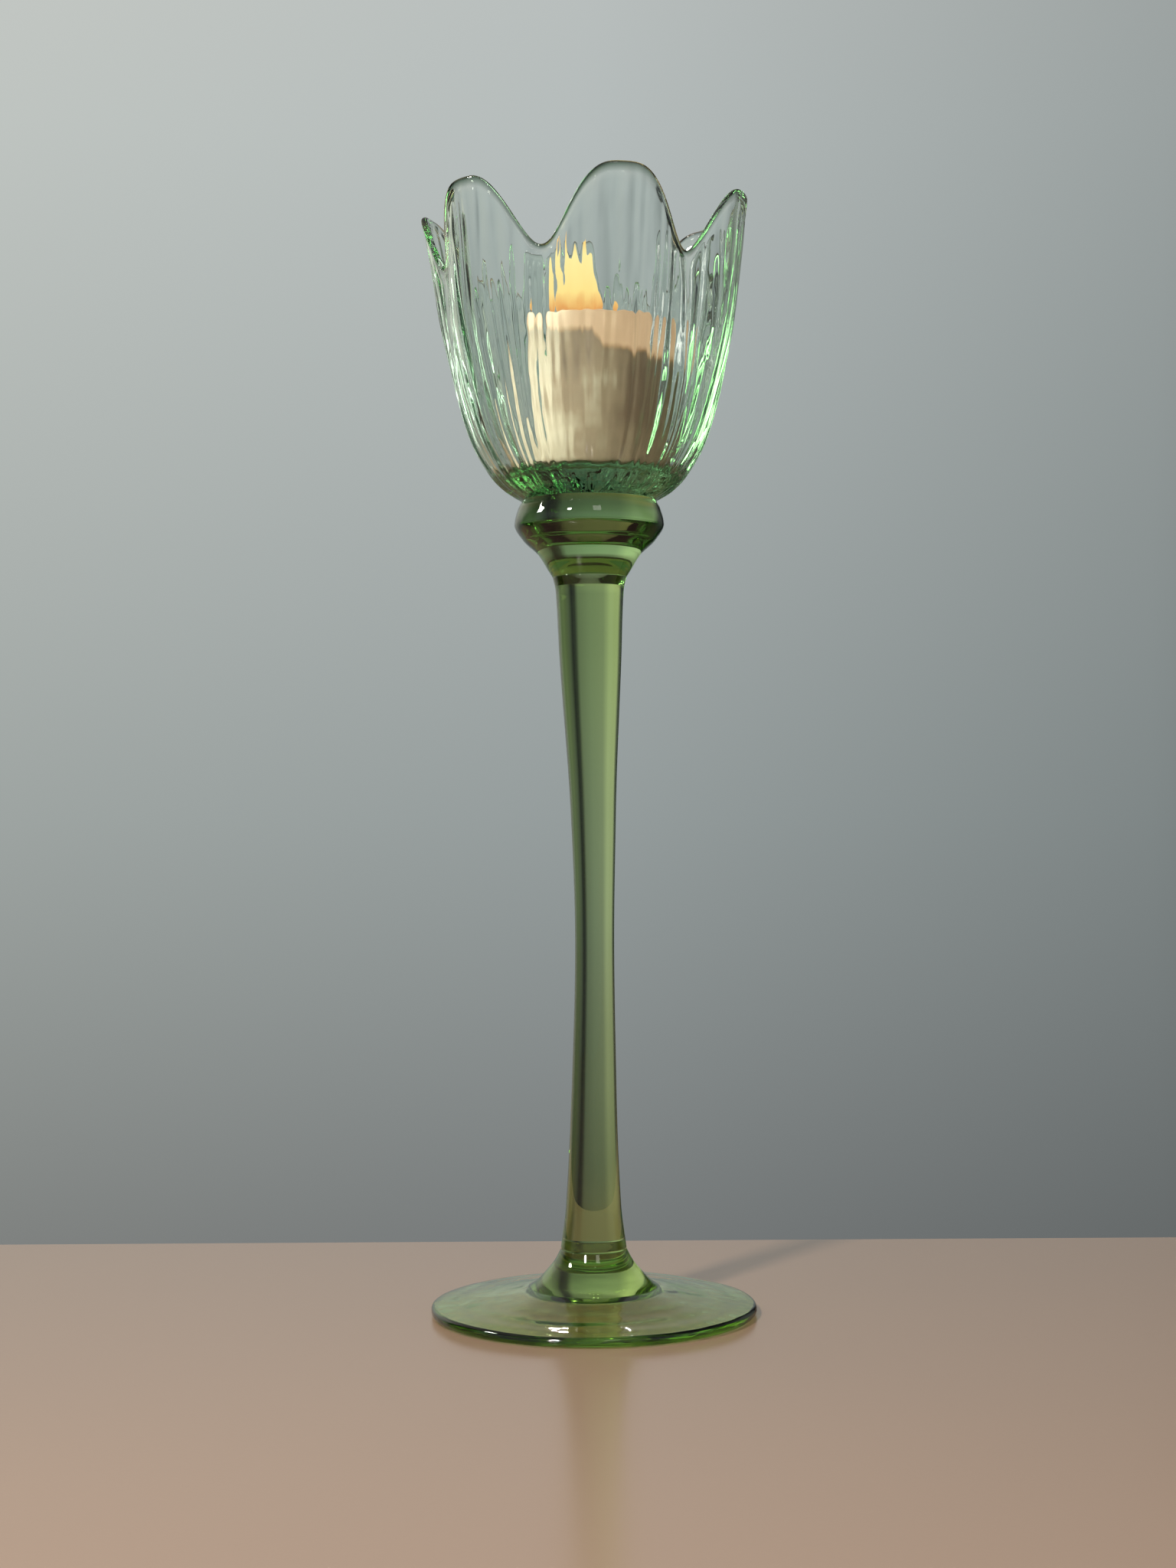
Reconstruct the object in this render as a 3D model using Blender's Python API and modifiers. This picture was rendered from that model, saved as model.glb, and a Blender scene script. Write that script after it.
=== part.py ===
# Glass candlestick: a foot, a drawn stem, a knop and a six-petal tulip cup, hot-joined one above the
# other, and a votive candle that stands loose in the cup.
# Units are metres, +Z is up, and the origin is the centre of the foot's underside.
import math

import bpy
import numpy as np
from mathutils import Vector

# Foot
FOOT_RADIUS = 0.0513
FOOT_EDGE = 0.0034            # thickness at the rim
FOOT_DISC_RISE = 0.0068       # top of the disc where it meets the boss
FOOT_HEIGHT = 0.0200          # up to the joint with the stem
BOSS_SPREAD = 0.0135          # how far the boss flares out past the stem
EDGE_ROUND = 0.0012

# Stem
STEM_LENGTH = 0.2114
STEM_END_RADIUS = 0.0104      # at the joint with the foot
STEM_WAIST_RADIUS = 0.0062
STEM_WAIST_RISE = 0.0960      # waist above the foot
STEM_TOP_RADIUS = 0.0117      # at the joint with the knop

# Knop
KNOP_HEIGHT = 0.0237
KNOP_RADIUS = 0.0237
KNOP_BELLY_RISE = 0.0165      # widest point above the stem
NECK_RADIUS = 0.0213          # joint of knop and cup

# Candle
CANDLE_RADIUS = 0.0225
CANDLE_HEIGHT = 0.0490
CANDLE_SHIFT = 0.0030         # it stands a little off centre, towards +X
CANDLE_EDGE = 0.0012
POOL_DEPTH = 0.0070           # melted hollow in the top
POOL_RIM = 0.0028             # wax left standing round the hollow
WICK_RADIUS = 0.0008
WICK_STANDS = 0.0105          # above the floor of the hollow
WICK_BEND = -0.0022           # the burnt end leans towards -X
TAB_RADIUS = 0.0085           # sustainer
TAB_THICKNESS = 0.0005
TAB_NECK_WALL = 0.0007
TAB_NECK_HEIGHT = 0.0040
CANDLE_LIFT = 0.1000          # travel that takes the candle clear of the petals

# Cup
CUP_HEIGHT = 0.0940           # from its joint to the highest petal tip
CUP_WALL = 0.0024
RIM_ROUND = 0.0007            # the rim is melted round
CUP_BASE = 0.0080             # solid glass under the candle
CANDLE_PLAY = 0.0050          # flat floor left round a centred candle
HEEL_OUT = 0.0040             # outer wall past the flat floor, at floor height
SHOULDER_OUT = 0.0100
SHOULDER_RISE = 0.0190
BELLY_OUT = 0.0142
BELLY_RISE = 0.0330
PETAL_OUT = 0.0203
PETAL_RISE = 0.0590
TIP_OUT = 0.0250
FLOOR_CORNER = 0.0030         # height of the round between floor and wall
PETALS = 6
PETAL_DEPTH = 0.0225          # from a tip down to the valley beside it
PETAL_ROUNDNESS = 1.6         # above 1 the tips are broad and the valleys narrow
VALLEY_FOLD = 0.0042          # how far the rim is pinched in at a valley
FRONT_PETAL = math.radians(-78.0)
# Each petal is worked by hand, so its tip leans out or in by its own small amount.
PETAL_LEAN = (0.0005, -0.0010, -0.0010, 0.0000, 0.0025, -0.0010)

# Fits
JOINT_GAP = 0.0003            # between pieces that touch

ROUND_STEPS = 48
WIDE_STEPS = 72
MERGE = 0.00001

stem_bottom = FOOT_HEIGHT + JOINT_GAP
stem_top = stem_bottom + STEM_LENGTH
knop_bottom = stem_top + JOINT_GAP
knop_top = knop_bottom + KNOP_HEIGHT
cup_bottom = knop_top + JOINT_GAP
cup_floor = cup_bottom + CUP_BASE
candle_bottom = cup_floor + JOINT_GAP
floor_radius = CANDLE_RADIUS + CANDLE_PLAY


def clear_scene():
    for thing in list(bpy.data.objects):
        bpy.data.objects.remove(thing, do_unlink=True)


def smooth_slopes(heights, radii):
    # One slope for each key, level where the outline turns back, so the line never overshoots a key.
    steps = np.diff(radii) / np.diff(heights)
    slopes = np.concatenate(([steps[0]], np.zeros(len(steps) - 1), [steps[-1]]))
    for i in range(1, len(steps)):
        before, after = steps[i - 1], steps[i]
        if before * after > 0:
            slopes[i] = 2 * before * after / (before + after)
    return slopes


def radius_at(keys, height):
    # Radius of a smooth outline through (radius, height) keys, at one height.
    radii = np.array([key[0] for key in keys])
    heights = np.array([key[1] for key in keys])
    slopes = smooth_slopes(heights, radii)
    height = min(max(height, heights[0]), heights[-1])
    i = min(int(np.searchsorted(heights, height, side="right")) - 1, len(keys) - 2)
    span = heights[i + 1] - heights[i]
    t = (height - heights[i]) / span
    start = (2 * t**3 - 3 * t**2 + 1) * radii[i] + (t**3 - 2 * t**2 + t) * span * slopes[i]
    end = (3 * t**2 - 2 * t**3) * radii[i + 1] + (t**3 - t**2) * span * slopes[i + 1]
    return float(start + end)


def outline(keys, steps):
    # Points up the smooth outline, with the given number of steps between each pair of keys.
    points = []
    for low, high in zip(keys, keys[1:]):
        for i in range(steps):
            height = low[1] + (high[1] - low[1]) * i / steps
            points.append((radius_at(keys, height), height))
    points.append(keys[-1])
    return points


def arc(centre, radius, start, end, steps):
    # Points round part of a circle, angles in degrees from +X towards +Z.
    angles = [math.radians(start + (end - start) * i / steps) for i in range(steps + 1)]
    return [(centre[0] + radius * math.cos(a), centre[1] + radius * math.sin(a)) for a in angles]


def material(name, colour, roughness, metallic=0.0, transmission=0.0):
    made = bpy.data.materials.new(name)
    made.use_nodes = True
    shader = made.node_tree.nodes["Principled BSDF"]
    shader.inputs["Base Color"].default_value = (*colour, 1.0)
    shader.inputs["Roughness"].default_value = roughness
    shader.inputs["Metallic"].default_value = metallic
    shader.inputs["Transmission Weight"].default_value = transmission
    return made


def turned(name, points, look, steps=ROUND_STEPS, closed=False):
    # A profile turned about Z. A closed profile makes a ring, an open one starts and ends on the axis.
    mesh = bpy.data.meshes.new(name)
    edges = [(i, i + 1) for i in range(len(points) - 1)]
    if closed:
        edges.append((len(points) - 1, 0))
    mesh.from_pydata([(r, 0.0, z) for r, z in points], edges, [])
    piece = bpy.data.objects.new(name, mesh)
    parts.objects.link(piece)
    mesh.materials.append(look)
    screw = piece.modifiers.new("turn", "SCREW")
    screw.axis = "Z"
    screw.angle = 2 * math.pi
    screw.steps = steps
    screw.render_steps = steps
    screw.use_merge_vertices = True
    screw.merge_threshold = MERGE
    screw.use_smooth_shade = True
    return piece


def settle(piece):
    # Turns the piece's modifiers into plain mesh, so that its points can be moved.
    bpy.context.view_layer.update()
    evaluated = piece.evaluated_get(bpy.context.evaluated_depsgraph_get())
    mesh = bpy.data.meshes.new_from_object(evaluated)
    piece.modifiers.clear()
    piece.data = mesh
    return mesh


def make_foot(look):
    boss_edge = STEM_END_RADIUS + BOSS_SPREAD
    boss_rise = FOOT_HEIGHT - FOOT_DISC_RISE
    boss = outline([
        (boss_edge, FOOT_DISC_RISE),
        (STEM_END_RADIUS + 0.64 * BOSS_SPREAD, FOOT_DISC_RISE + 0.16 * boss_rise),
        (STEM_END_RADIUS + 0.30 * BOSS_SPREAD, FOOT_DISC_RISE + 0.50 * boss_rise),
        (STEM_END_RADIUS, FOOT_HEIGHT),
    ], 3)
    rim = FOOT_RADIUS - EDGE_ROUND
    edge = arc((rim, FOOT_EDGE - EDGE_ROUND), EDGE_ROUND, 90, 0, 3)
    edge += arc((rim, EDGE_ROUND), EDGE_ROUND, 0, -90, 3)
    points = [(0.0, FOOT_HEIGHT)] + boss[::-1] + edge + [(0.0, 0.0)]
    return turned("foot", points, look, WIDE_STEPS)


def make_stem(look):
    waist = stem_bottom + STEM_WAIST_RISE
    below = STEM_END_RADIUS - STEM_WAIST_RADIUS
    above = STEM_TOP_RADIUS - STEM_WAIST_RADIUS
    upper = stem_top - waist
    sides = outline([
        (STEM_END_RADIUS, stem_bottom),
        (STEM_WAIST_RADIUS + 0.60 * below, stem_bottom + 0.14 * STEM_WAIST_RISE),
        (STEM_WAIST_RADIUS + 0.20 * below, stem_bottom + 0.54 * STEM_WAIST_RISE),
        (STEM_WAIST_RADIUS, waist),
        (STEM_WAIST_RADIUS + 0.18 * above, waist + 0.36 * upper),
        (STEM_WAIST_RADIUS + 0.68 * above, waist + 0.78 * upper),
        (STEM_TOP_RADIUS, stem_top),
    ], 2)
    points = [(0.0, stem_top)] + sides[::-1] + [(0.0, stem_bottom)]
    return turned("stem", points, look)


def make_knop(look):
    swell = KNOP_RADIUS - STEM_TOP_RADIUS
    belly = knop_bottom + KNOP_BELLY_RISE
    upper = knop_top - belly
    sides = outline([
        (STEM_TOP_RADIUS, knop_bottom),
        (STEM_TOP_RADIUS + 0.12 * swell, knop_bottom + 0.13 * KNOP_BELLY_RISE),
        (STEM_TOP_RADIUS + 0.37 * swell, knop_bottom + 0.42 * KNOP_BELLY_RISE),
        (STEM_TOP_RADIUS + 0.77 * swell, knop_bottom + 0.70 * KNOP_BELLY_RISE),
        (KNOP_RADIUS, belly),
        (KNOP_RADIUS + 0.46 * (NECK_RADIUS - KNOP_RADIUS), belly + 0.67 * upper),
        (NECK_RADIUS, knop_top),
    ], 2)
    points = [(0.0, knop_top)] + sides[::-1] + [(0.0, knop_bottom)]
    return turned("knop", points, look)


def cup_keys():
    # Outline of the cup's outer wall at the middle of an even petal, as (radius, height) keys.
    corner = floor_radius + HEEL_OUT
    return [
        (NECK_RADIUS, cup_bottom),
        (0.45 * NECK_RADIUS + 0.55 * corner, cup_bottom + 0.38 * CUP_BASE),
        (corner, cup_floor),
        (floor_radius + SHOULDER_OUT, cup_bottom + SHOULDER_RISE),
        (floor_radius + BELLY_OUT, cup_bottom + BELLY_RISE),
        (floor_radius + PETAL_OUT, cup_bottom + PETAL_RISE),
        (floor_radius + TIP_OUT, cup_bottom + CUP_HEIGHT - RIM_ROUND),
    ]


def wall_inside(outer):
    # The inner face of the wall: each outer point moved in, square to the wall.
    inner = []
    for i in range(1, len(outer) - 1):
        along = Vector(outer[i + 1]) - Vector(outer[i - 1])
        inward = Vector((-along.y, along.x)).normalized()
        inner.append(tuple(Vector(outer[i]) + inward * CUP_WALL))
    along = (Vector(outer[-1]) - Vector(outer[-2])).normalized()
    inward = Vector((-along.y, along.x))
    inner.append(tuple(Vector(outer[-1]) + inward * CUP_WALL))
    return [point for point in inner if point[1] > cup_floor + FLOOR_CORNER]


def floor_round(first):
    # A curve from the flat floor up to the first point of the inner wall.
    start = Vector((floor_radius - FLOOR_CORNER, cup_floor))
    bend = Vector((floor_radius, cup_floor))
    end = Vector(first)
    spots = (0.0, 0.35, 0.7)
    return [tuple((1 - t)**2 * start + 2 * t * (1 - t) * bend + t * t * end) for t in spots]


def petal_drop(angle):
    # 0 at a petal's tip, 1 at a valley.
    wave = (1 - math.cos(PETALS * (angle - FRONT_PETAL))) / 2
    return wave**PETAL_ROUNDNESS


def petal_lean(angle):
    # The nearest petals' own leans, blended round the rim.
    lean = 0.0
    pitch = 2 * math.pi / PETALS
    for i in range(PETALS):
        away = angle - FRONT_PETAL - i * pitch
        away = abs((away + math.pi) % (2 * math.pi) - math.pi)
        if away < pitch:
            lean += PETAL_LEAN[i % len(PETAL_LEAN)] * (1 + math.cos(math.pi * away / pitch)) / 2
    return lean


def draw_petals(mesh, keys):
    # The wall above the belly is drawn down at the valleys and folded in there.
    belly = cup_bottom + BELLY_RISE
    top = cup_bottom + CUP_HEIGHT
    for vertex in mesh.vertices:
        x, y, height = vertex.co
        if height <= belly:
            continue
        angle = math.atan2(y, x)
        drop = petal_drop(angle)
        share = (height - belly) / (top - belly)
        lowered = height - PETAL_DEPTH * drop * share
        radius = math.hypot(x, y)
        radius += radius_at(keys, lowered) - radius_at(keys, height)
        ease = share * share
        radius += petal_lean(angle) * ease - VALLEY_FOLD * drop * share
        vertex.co = (radius * math.cos(angle), radius * math.sin(angle), lowered)


def make_cup(look):
    keys = cup_keys()
    outer = outline(keys, 2)
    inner = wall_inside(outer)
    rim_middle = (Vector(outer[-1]) + Vector(inner[-1])) / 2
    crown = (rim_middle.x, rim_middle.y + RIM_ROUND)
    points = [(0.0, cup_floor)] + floor_round(inner[0]) + inner
    points += [crown] + outer[::-1] + [(0.0, cup_bottom)]
    cup = turned("tulip_cup", points, look, WIDE_STEPS)
    draw_petals(settle(cup), keys)
    return cup


def make_wax(look):
    # Cast round the wick and over the sustainer, with a gap to each. Heights are above its underside.
    bore = WICK_RADIUS + JOINT_GAP
    neck = bore + TAB_NECK_WALL + JOINT_GAP
    rim_round = POOL_RIM / 2
    crest = CANDLE_HEIGHT - rim_round
    middle = CANDLE_RADIUS - rim_round
    pool = CANDLE_HEIGHT - POOL_DEPTH
    pool_edge = CANDLE_RADIUS - POOL_RIM
    points = [(bore, pool), (pool_edge - rim_round, pool), (pool_edge, pool + rim_round)]
    points += arc((middle, crest), rim_round, 180, 0, 4)
    points += [(CANDLE_RADIUS, CANDLE_EDGE), (CANDLE_RADIUS - CANDLE_EDGE, 0.0)]
    points += [(TAB_RADIUS + JOINT_GAP, 0.0), (TAB_RADIUS + JOINT_GAP, TAB_THICKNESS + JOINT_GAP)]
    points += [(neck, TAB_THICKNESS + JOINT_GAP), (neck, TAB_NECK_HEIGHT + JOINT_GAP)]
    points += [(bore, TAB_NECK_HEIGHT + JOINT_GAP)]
    return turned("candle_wax", points, look, ROUND_STEPS, closed=True)


def make_sustainer(look):
    bore = WICK_RADIUS + JOINT_GAP
    neck = bore + TAB_NECK_WALL
    points = [
        (bore, TAB_NECK_HEIGHT),
        (neck, TAB_NECK_HEIGHT),
        (neck, TAB_THICKNESS),
        (TAB_RADIUS, TAB_THICKNESS),
        (TAB_RADIUS, 0.0),
        (bore, 0.0),
    ]
    return turned("wick_sustainer", points, look, ROUND_STEPS // 2, closed=True)


def make_wick(look):
    # Straight up through the candle, then the burnt end leans over.
    pool = CANDLE_HEIGHT - POOL_DEPTH
    straight = pool + WICK_STANDS / 3
    tip = pool + WICK_STANDS
    bend = [
        (WICK_BEND * t * t, straight + (tip - straight) * t)
        for t in (0.0, 0.25, 0.5, 0.75, 1.0)
    ]
    route = [(0.0, 0.0)] + bend
    curve = bpy.data.curves.new("wick", "CURVE")
    curve.dimensions = "3D"
    curve.bevel_depth = WICK_RADIUS
    curve.bevel_resolution = 2
    curve.use_fill_caps = True
    line = curve.splines.new("POLY")
    line.points.add(len(route) - 1)
    for point, (x, z) in zip(line.points, route):
        point.co = (x, 0.0, z, 1.0)
    curve.materials.append(look)
    wick = bpy.data.objects.new("wick", curve)
    parts.objects.link(wick)
    return wick


clear_scene()
parts = bpy.data.collections.new("glass_candlestick")
bpy.context.scene.collection.children.link(parts)

clear_glass = material("clear_green_glass", (0.62, 0.80, 0.68), 0.03, transmission=1.0)
green_glass = material("green_glass", (0.38, 0.62, 0.34), 0.03, transmission=1.0)
wax = material("cream_wax", (0.86, 0.78, 0.66), 0.55)
cotton = material("burnt_cotton", (0.10, 0.08, 0.06), 0.90)
tinned_steel = material("tinned_steel", (0.62, 0.62, 0.60), 0.35, metallic=1.0)

make_foot(green_glass)
make_stem(green_glass)
make_knop(green_glass)
make_cup(clear_glass)

# The candle's pieces hang on one empty on the line along which the candle is lifted out.
lift_line = bpy.data.objects.new("candle_lift_line", None)
lift_line.location = (CANDLE_SHIFT, 0.0, candle_bottom)
lift_line.empty_display_size = CANDLE_LIFT
parts.objects.link(lift_line)
for piece in (make_wax(wax), make_wick(cotton), make_sustainer(tinned_steel)):
    piece.parent = lift_line
bpy.context.view_layer.update()
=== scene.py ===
import math
import random

import bpy
import numpy as np
from mathutils import Matrix, Vector, noise


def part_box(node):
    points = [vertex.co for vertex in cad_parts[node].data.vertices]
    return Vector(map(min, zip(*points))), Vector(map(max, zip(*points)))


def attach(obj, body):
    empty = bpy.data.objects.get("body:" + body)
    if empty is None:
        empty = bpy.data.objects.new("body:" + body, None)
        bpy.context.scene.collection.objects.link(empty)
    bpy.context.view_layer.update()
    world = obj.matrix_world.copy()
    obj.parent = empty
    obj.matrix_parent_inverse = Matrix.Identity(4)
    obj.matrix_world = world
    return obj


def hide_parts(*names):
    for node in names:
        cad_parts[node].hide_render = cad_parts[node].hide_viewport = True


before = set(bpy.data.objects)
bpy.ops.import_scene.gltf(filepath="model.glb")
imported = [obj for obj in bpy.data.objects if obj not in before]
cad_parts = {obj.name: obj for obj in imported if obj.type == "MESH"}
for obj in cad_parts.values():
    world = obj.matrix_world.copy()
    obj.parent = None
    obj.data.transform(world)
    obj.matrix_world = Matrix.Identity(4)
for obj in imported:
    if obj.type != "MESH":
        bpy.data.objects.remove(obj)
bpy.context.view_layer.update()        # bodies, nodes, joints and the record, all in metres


# Shader maths written as plain Python: a Wire is a node's output, and a Look is one material.
class Wire:
    def __init__(self, look, socket):
        self.look = look
        self.socket = socket

    def maths(self, operation, first, second):
        return self.look.node("ShaderNodeMath", {"operation": operation}, {0: first, 1: second})

    def __add__(self, other):
        return self.maths("ADD", self, other)

    def __sub__(self, other):
        return self.maths("SUBTRACT", self, other)

    def __rsub__(self, other):
        return self.maths("SUBTRACT", other, self)

    def __mul__(self, other):
        return self.maths("MULTIPLY", self, other)

    def __truediv__(self, other):
        return self.maths("DIVIDE", self, other)

    def __pow__(self, other):
        return self.maths("POWER", self, other)

    __radd__ = __add__
    __rmul__ = __mul__


class Look:
    def __init__(self, name, tree=None):
        if tree is None:
            self.material = bpy.data.materials.new(name)
            self.material.use_nodes = True
            tree = self.material.node_tree
        self.tree = tree
        self.tree.nodes.clear()

    def node(self, kind, settings=None, inputs=None, out=0):
        made = self.tree.nodes.new(kind)
        for name, value in (settings or {}).items():
            if name == "stops":
                self.fillRamp(made.color_ramp, value)
            else:
                setattr(made, name, value)
        for name, value in (inputs or {}).items():
            if isinstance(value, Wire):
                self.tree.links.new(value.socket, made.inputs[name])
            else:
                made.inputs[name].default_value = value
        return Wire(self, made.outputs[out])

    def fillRamp(self, ramp, stops):
        while len(ramp.elements) < len(stops):
            ramp.elements.new(0.5)
        for element, (place, colour) in zip(ramp.elements, stops):
            element.position = place
            element.color = (*colour, 1.0)

    def spot(self):
        return self.node("ShaderNodeTexCoord", out="Object")

    def stretched(self, scale):
        return self.node("ShaderNodeMapping", inputs={"Vector": self.spot(), "Scale": scale})

    def axes(self, vector):
        split = self.tree.nodes.new("ShaderNodeSeparateXYZ")
        self.tree.links.new(vector.socket, split.inputs[0])
        return [Wire(self, split.outputs[i]) for i in range(3)]

    def grain(self, vector, scale, detail=2.0, roughness=0.5):
        inputs = {"Vector": vector, "Scale": scale, "Detail": detail, "Roughness": roughness}
        return self.node("ShaderNodeTexNoise", inputs=inputs)

    def ease(self, value, low, high):
        # 0 below low, 1 above high, smooth between.
        inputs = {"Value": value, "From Min": low, "From Max": high}
        return self.node("ShaderNodeMapRange", {"interpolation_type": "SMOOTHSTEP"}, inputs)

    def ramp(self, value, stops):
        return self.node("ShaderNodeValToRGB", {"stops": stops}, {0: value})

    def blend(self, amount, first, second):
        first, second = [(*c, 1.0) if isinstance(c, tuple) else c for c in (first, second)]
        return self.node("ShaderNodeMix", {"data_type": "RGBA"}, {0: amount, 6: first, 7: second}, 2)

    def bump(self, height, strength, distance):
        inputs = {"Height": height, "Strength": strength, "Distance": distance}
        return self.node("ShaderNodeBump", inputs=inputs)

    def shader(self, inputs):
        return self.node("ShaderNodeBsdfPrincipled", inputs=inputs)

    def finish(self, surface, volume=None):
        inputs = {"Surface": surface}
        if volume is not None:
            inputs["Volume"] = volume
        out = self.tree.nodes.new("ShaderNodeOutputMaterial")
        for name, value in inputs.items():
            self.tree.links.new(value.socket, out.inputs[name])
        return self.material


# Outlines and turned surfaces.
def outlineThrough(keys, perKey):
    # A smooth line up through (radius, height) keys, level where the outline turns back.
    radii = np.array([key[0] for key in keys])
    heights = np.array([key[1] for key in keys])
    steps = np.diff(radii) / np.diff(heights)
    slopes = np.zeros(len(keys))
    slopes[0], slopes[-1] = steps[0], steps[-1]
    for i in range(1, len(steps)):
        if steps[i - 1] * steps[i] > 0:
            slopes[i] = 2 * steps[i - 1] * steps[i] / (steps[i - 1] + steps[i])

    def radiusAt(height):
        height = np.clip(height, heights[0], heights[-1])
        i = np.clip(np.searchsorted(heights, height, side="right") - 1, 0, len(keys) - 2)
        span = heights[i + 1] - heights[i]
        t = (height - heights[i]) / span
        low = (2 * t**3 - 3 * t**2 + 1) * radii[i] + (t**3 - 2 * t**2 + t) * span * slopes[i]
        high = (3 * t**2 - 2 * t**3) * radii[i + 1] + (t**3 - t**2) * span * slopes[i + 1]
        return low + high

    spans = zip(heights, heights[1:])
    levels = [low + (high - low) * i / perKey for low, high in spans for i in range(perKey)]
    levels = np.array(levels + [heights[-1]])
    return radiusAt, np.stack([radiusAt(levels), levels], axis=1)


def arcPoints(centre, radius, start, end, steps):
    angles = np.radians(np.linspace(start, end, steps + 1))
    return np.stack([centre[0] + radius * np.cos(angles), centre[1] + radius * np.sin(angles)], axis=1)


def gridMesh(name, rings, look, poles=(True, True), closeLoop=False):
    # rings is rows x columns x 3, and a pole closes its first or last row with a point on the axis.
    rows, columns = rings.shape[:2]
    points = rings.reshape(-1, 3)
    row = np.arange(rows if closeLoop else rows - 1)
    column = np.arange(columns)
    a, b = np.meshgrid(row, column, indexing="ij")
    below, along = (a + 1) % rows, (b + 1) % columns
    corners = [a * columns + b, below * columns + b, below * columns + along, a * columns + along]
    faces = np.stack(corners, axis=-1).reshape(-1, 4).tolist()
    extra = []
    for place, wanted in zip((0, rows - 1), poles):
        if not wanted:
            continue
        pole = len(points) + len(extra)
        extra.append(rings[place].mean(axis=0))
        base = place * columns
        for i in range(columns):
            after = (i + 1) % columns
            pair = (base + i, base + after) if place == 0 else (base + after, base + i)
            faces.append([pole, *pair])
    if extra:
        points = np.vstack([points, extra])
    mesh = bpy.data.meshes.new(name)
    mesh.from_pydata(points.tolist(), [], faces)
    mesh.shade_smooth()
    piece = bpy.data.objects.new(name, mesh)
    bpy.context.scene.collection.objects.link(piece)
    mesh.materials.append(look)
    return piece


def turnedRings(profile, columns, centre=(0.0, 0.0)):
    angles = np.linspace(0, 2 * np.pi, columns, endpoint=False)
    radius, height = profile[:, 0, None], profile[:, 1, None]
    rings = np.empty((len(profile), columns, 3))
    rings[..., 0] = centre[0] + radius * np.cos(angles)
    rings[..., 1] = centre[1] + radius * np.sin(angles)
    rings[..., 2] = height + 0 * angles
    return rings


def markSeams(piece, levels, reach=0.00004):
    # The joint faces of fused glass are marked, so that light passes them unbent.
    mesh = piece.data
    marks = mesh.attributes.new("seam", "FLOAT", "FACE")
    values = np.zeros(len(mesh.polygons), dtype=np.float32)
    for i, face in enumerate(mesh.polygons):
        flat = abs(face.normal.z) > 0.98
        values[i] = flat and any(abs(face.center.z - level) < reach for level in levels)
    marks.data.foreach_set("value", values)


def markRim(piece, amounts):
    marks = piece.data.attributes.new("rim", "FLOAT", "POINT")
    values = np.zeros(len(piece.data.vertices), dtype=np.float32)
    values[:amounts.size] = amounts.ravel()
    marks.data.foreach_set("value", values)


def placePiece(piece, body, slotName, *nodes):
    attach(piece, body)
    if nodes:
        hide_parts(*nodes)
    return piece


# Sizes that the frame gives, and the two radii where the glass pieces meet that its boxes don't show.
footHigh = Vector(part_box("foot")[1])
stemLow, stemHigh = [Vector(c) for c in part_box("stem")]
knopLow, knopHigh = [Vector(c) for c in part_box("knop")]
cupLow, cupHigh = [Vector(c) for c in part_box("tulip_cup")]
waxLow, waxHigh = [Vector(c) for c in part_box("candle_wax")]
wickLow, wickHigh = [Vector(c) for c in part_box("wick")]
footSeam = (footHigh.z + stemLow.z) / 2
knopSeam = (stemHigh.z + knopLow.z) / 2
cupSeam = (knopHigh.z + cupLow.z) / 2
candleX = (waxLow.x + waxHigh.x) / 2
candleRadius = (waxHigh.x - waxLow.x) / 2
stemEndRadius = 0.0104    # where the stem stands on the foot
neckRadius = 0.0213       # where the cup stands on the knop
seamGap = 0.00001         # left between two fused pieces, on each side of their seam

# Camera, at about half the candlestick's height.
camera = {
    "distance": 0.738,    # metres in front of the stem
    "height": 0.156,
    "side": -0.0009,
    "pitch": 0.81,        # degrees upwards
    "roll": 0.36,         # degrees
    "focal": 35.73,       # millimetres, as the sensor's height is
    "sensor": 24.0,
    "clipStart": 0.01,
}


def makeCamera():
    data = bpy.data.cameras.new("camera")
    data.sensor_fit = "VERTICAL"
    data.sensor_height = camera["sensor"]
    data.lens = camera["focal"]
    data.clip_start = camera["clipStart"]
    made = bpy.data.objects.new("camera", data)
    pitch, roll = math.radians(camera["pitch"]), math.radians(camera["roll"])
    forward = Vector((0, math.cos(pitch), math.sin(pitch)))
    up = Vector((0, -math.sin(pitch), math.cos(pitch)))
    right = Vector((1, 0, 0)) * math.cos(roll) - up * math.sin(roll)
    up = right.cross(forward)
    turn = Matrix((right, up, -forward)).transposed().to_4x4()
    spot = Matrix.Translation((camera["side"], -camera["distance"], camera["height"]))
    made.matrix_world = spot @ turn
    bpy.context.scene.collection.objects.link(made)
    bpy.context.scene.camera = made


# Studio: a pale table top with a far edge, soft sky-like light all round and a few soft boxes.
studio = {
    "floorColour": (0.58, 0.385, 0.275),
    "floorShade": (0.50, 0.32, 0.225),
    "floorSide": 1.6,
    "floorFront": -1.6,
    "floorBack": 0.125,       # the far edge
    "floorLevel": -0.0003,    # just under the foot
    "patchScale": 2.2,
    "grainScale": 900.0,
    "roughness": (0.14, 0.10),
    "worldStrength": 1.0,
}


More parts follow.
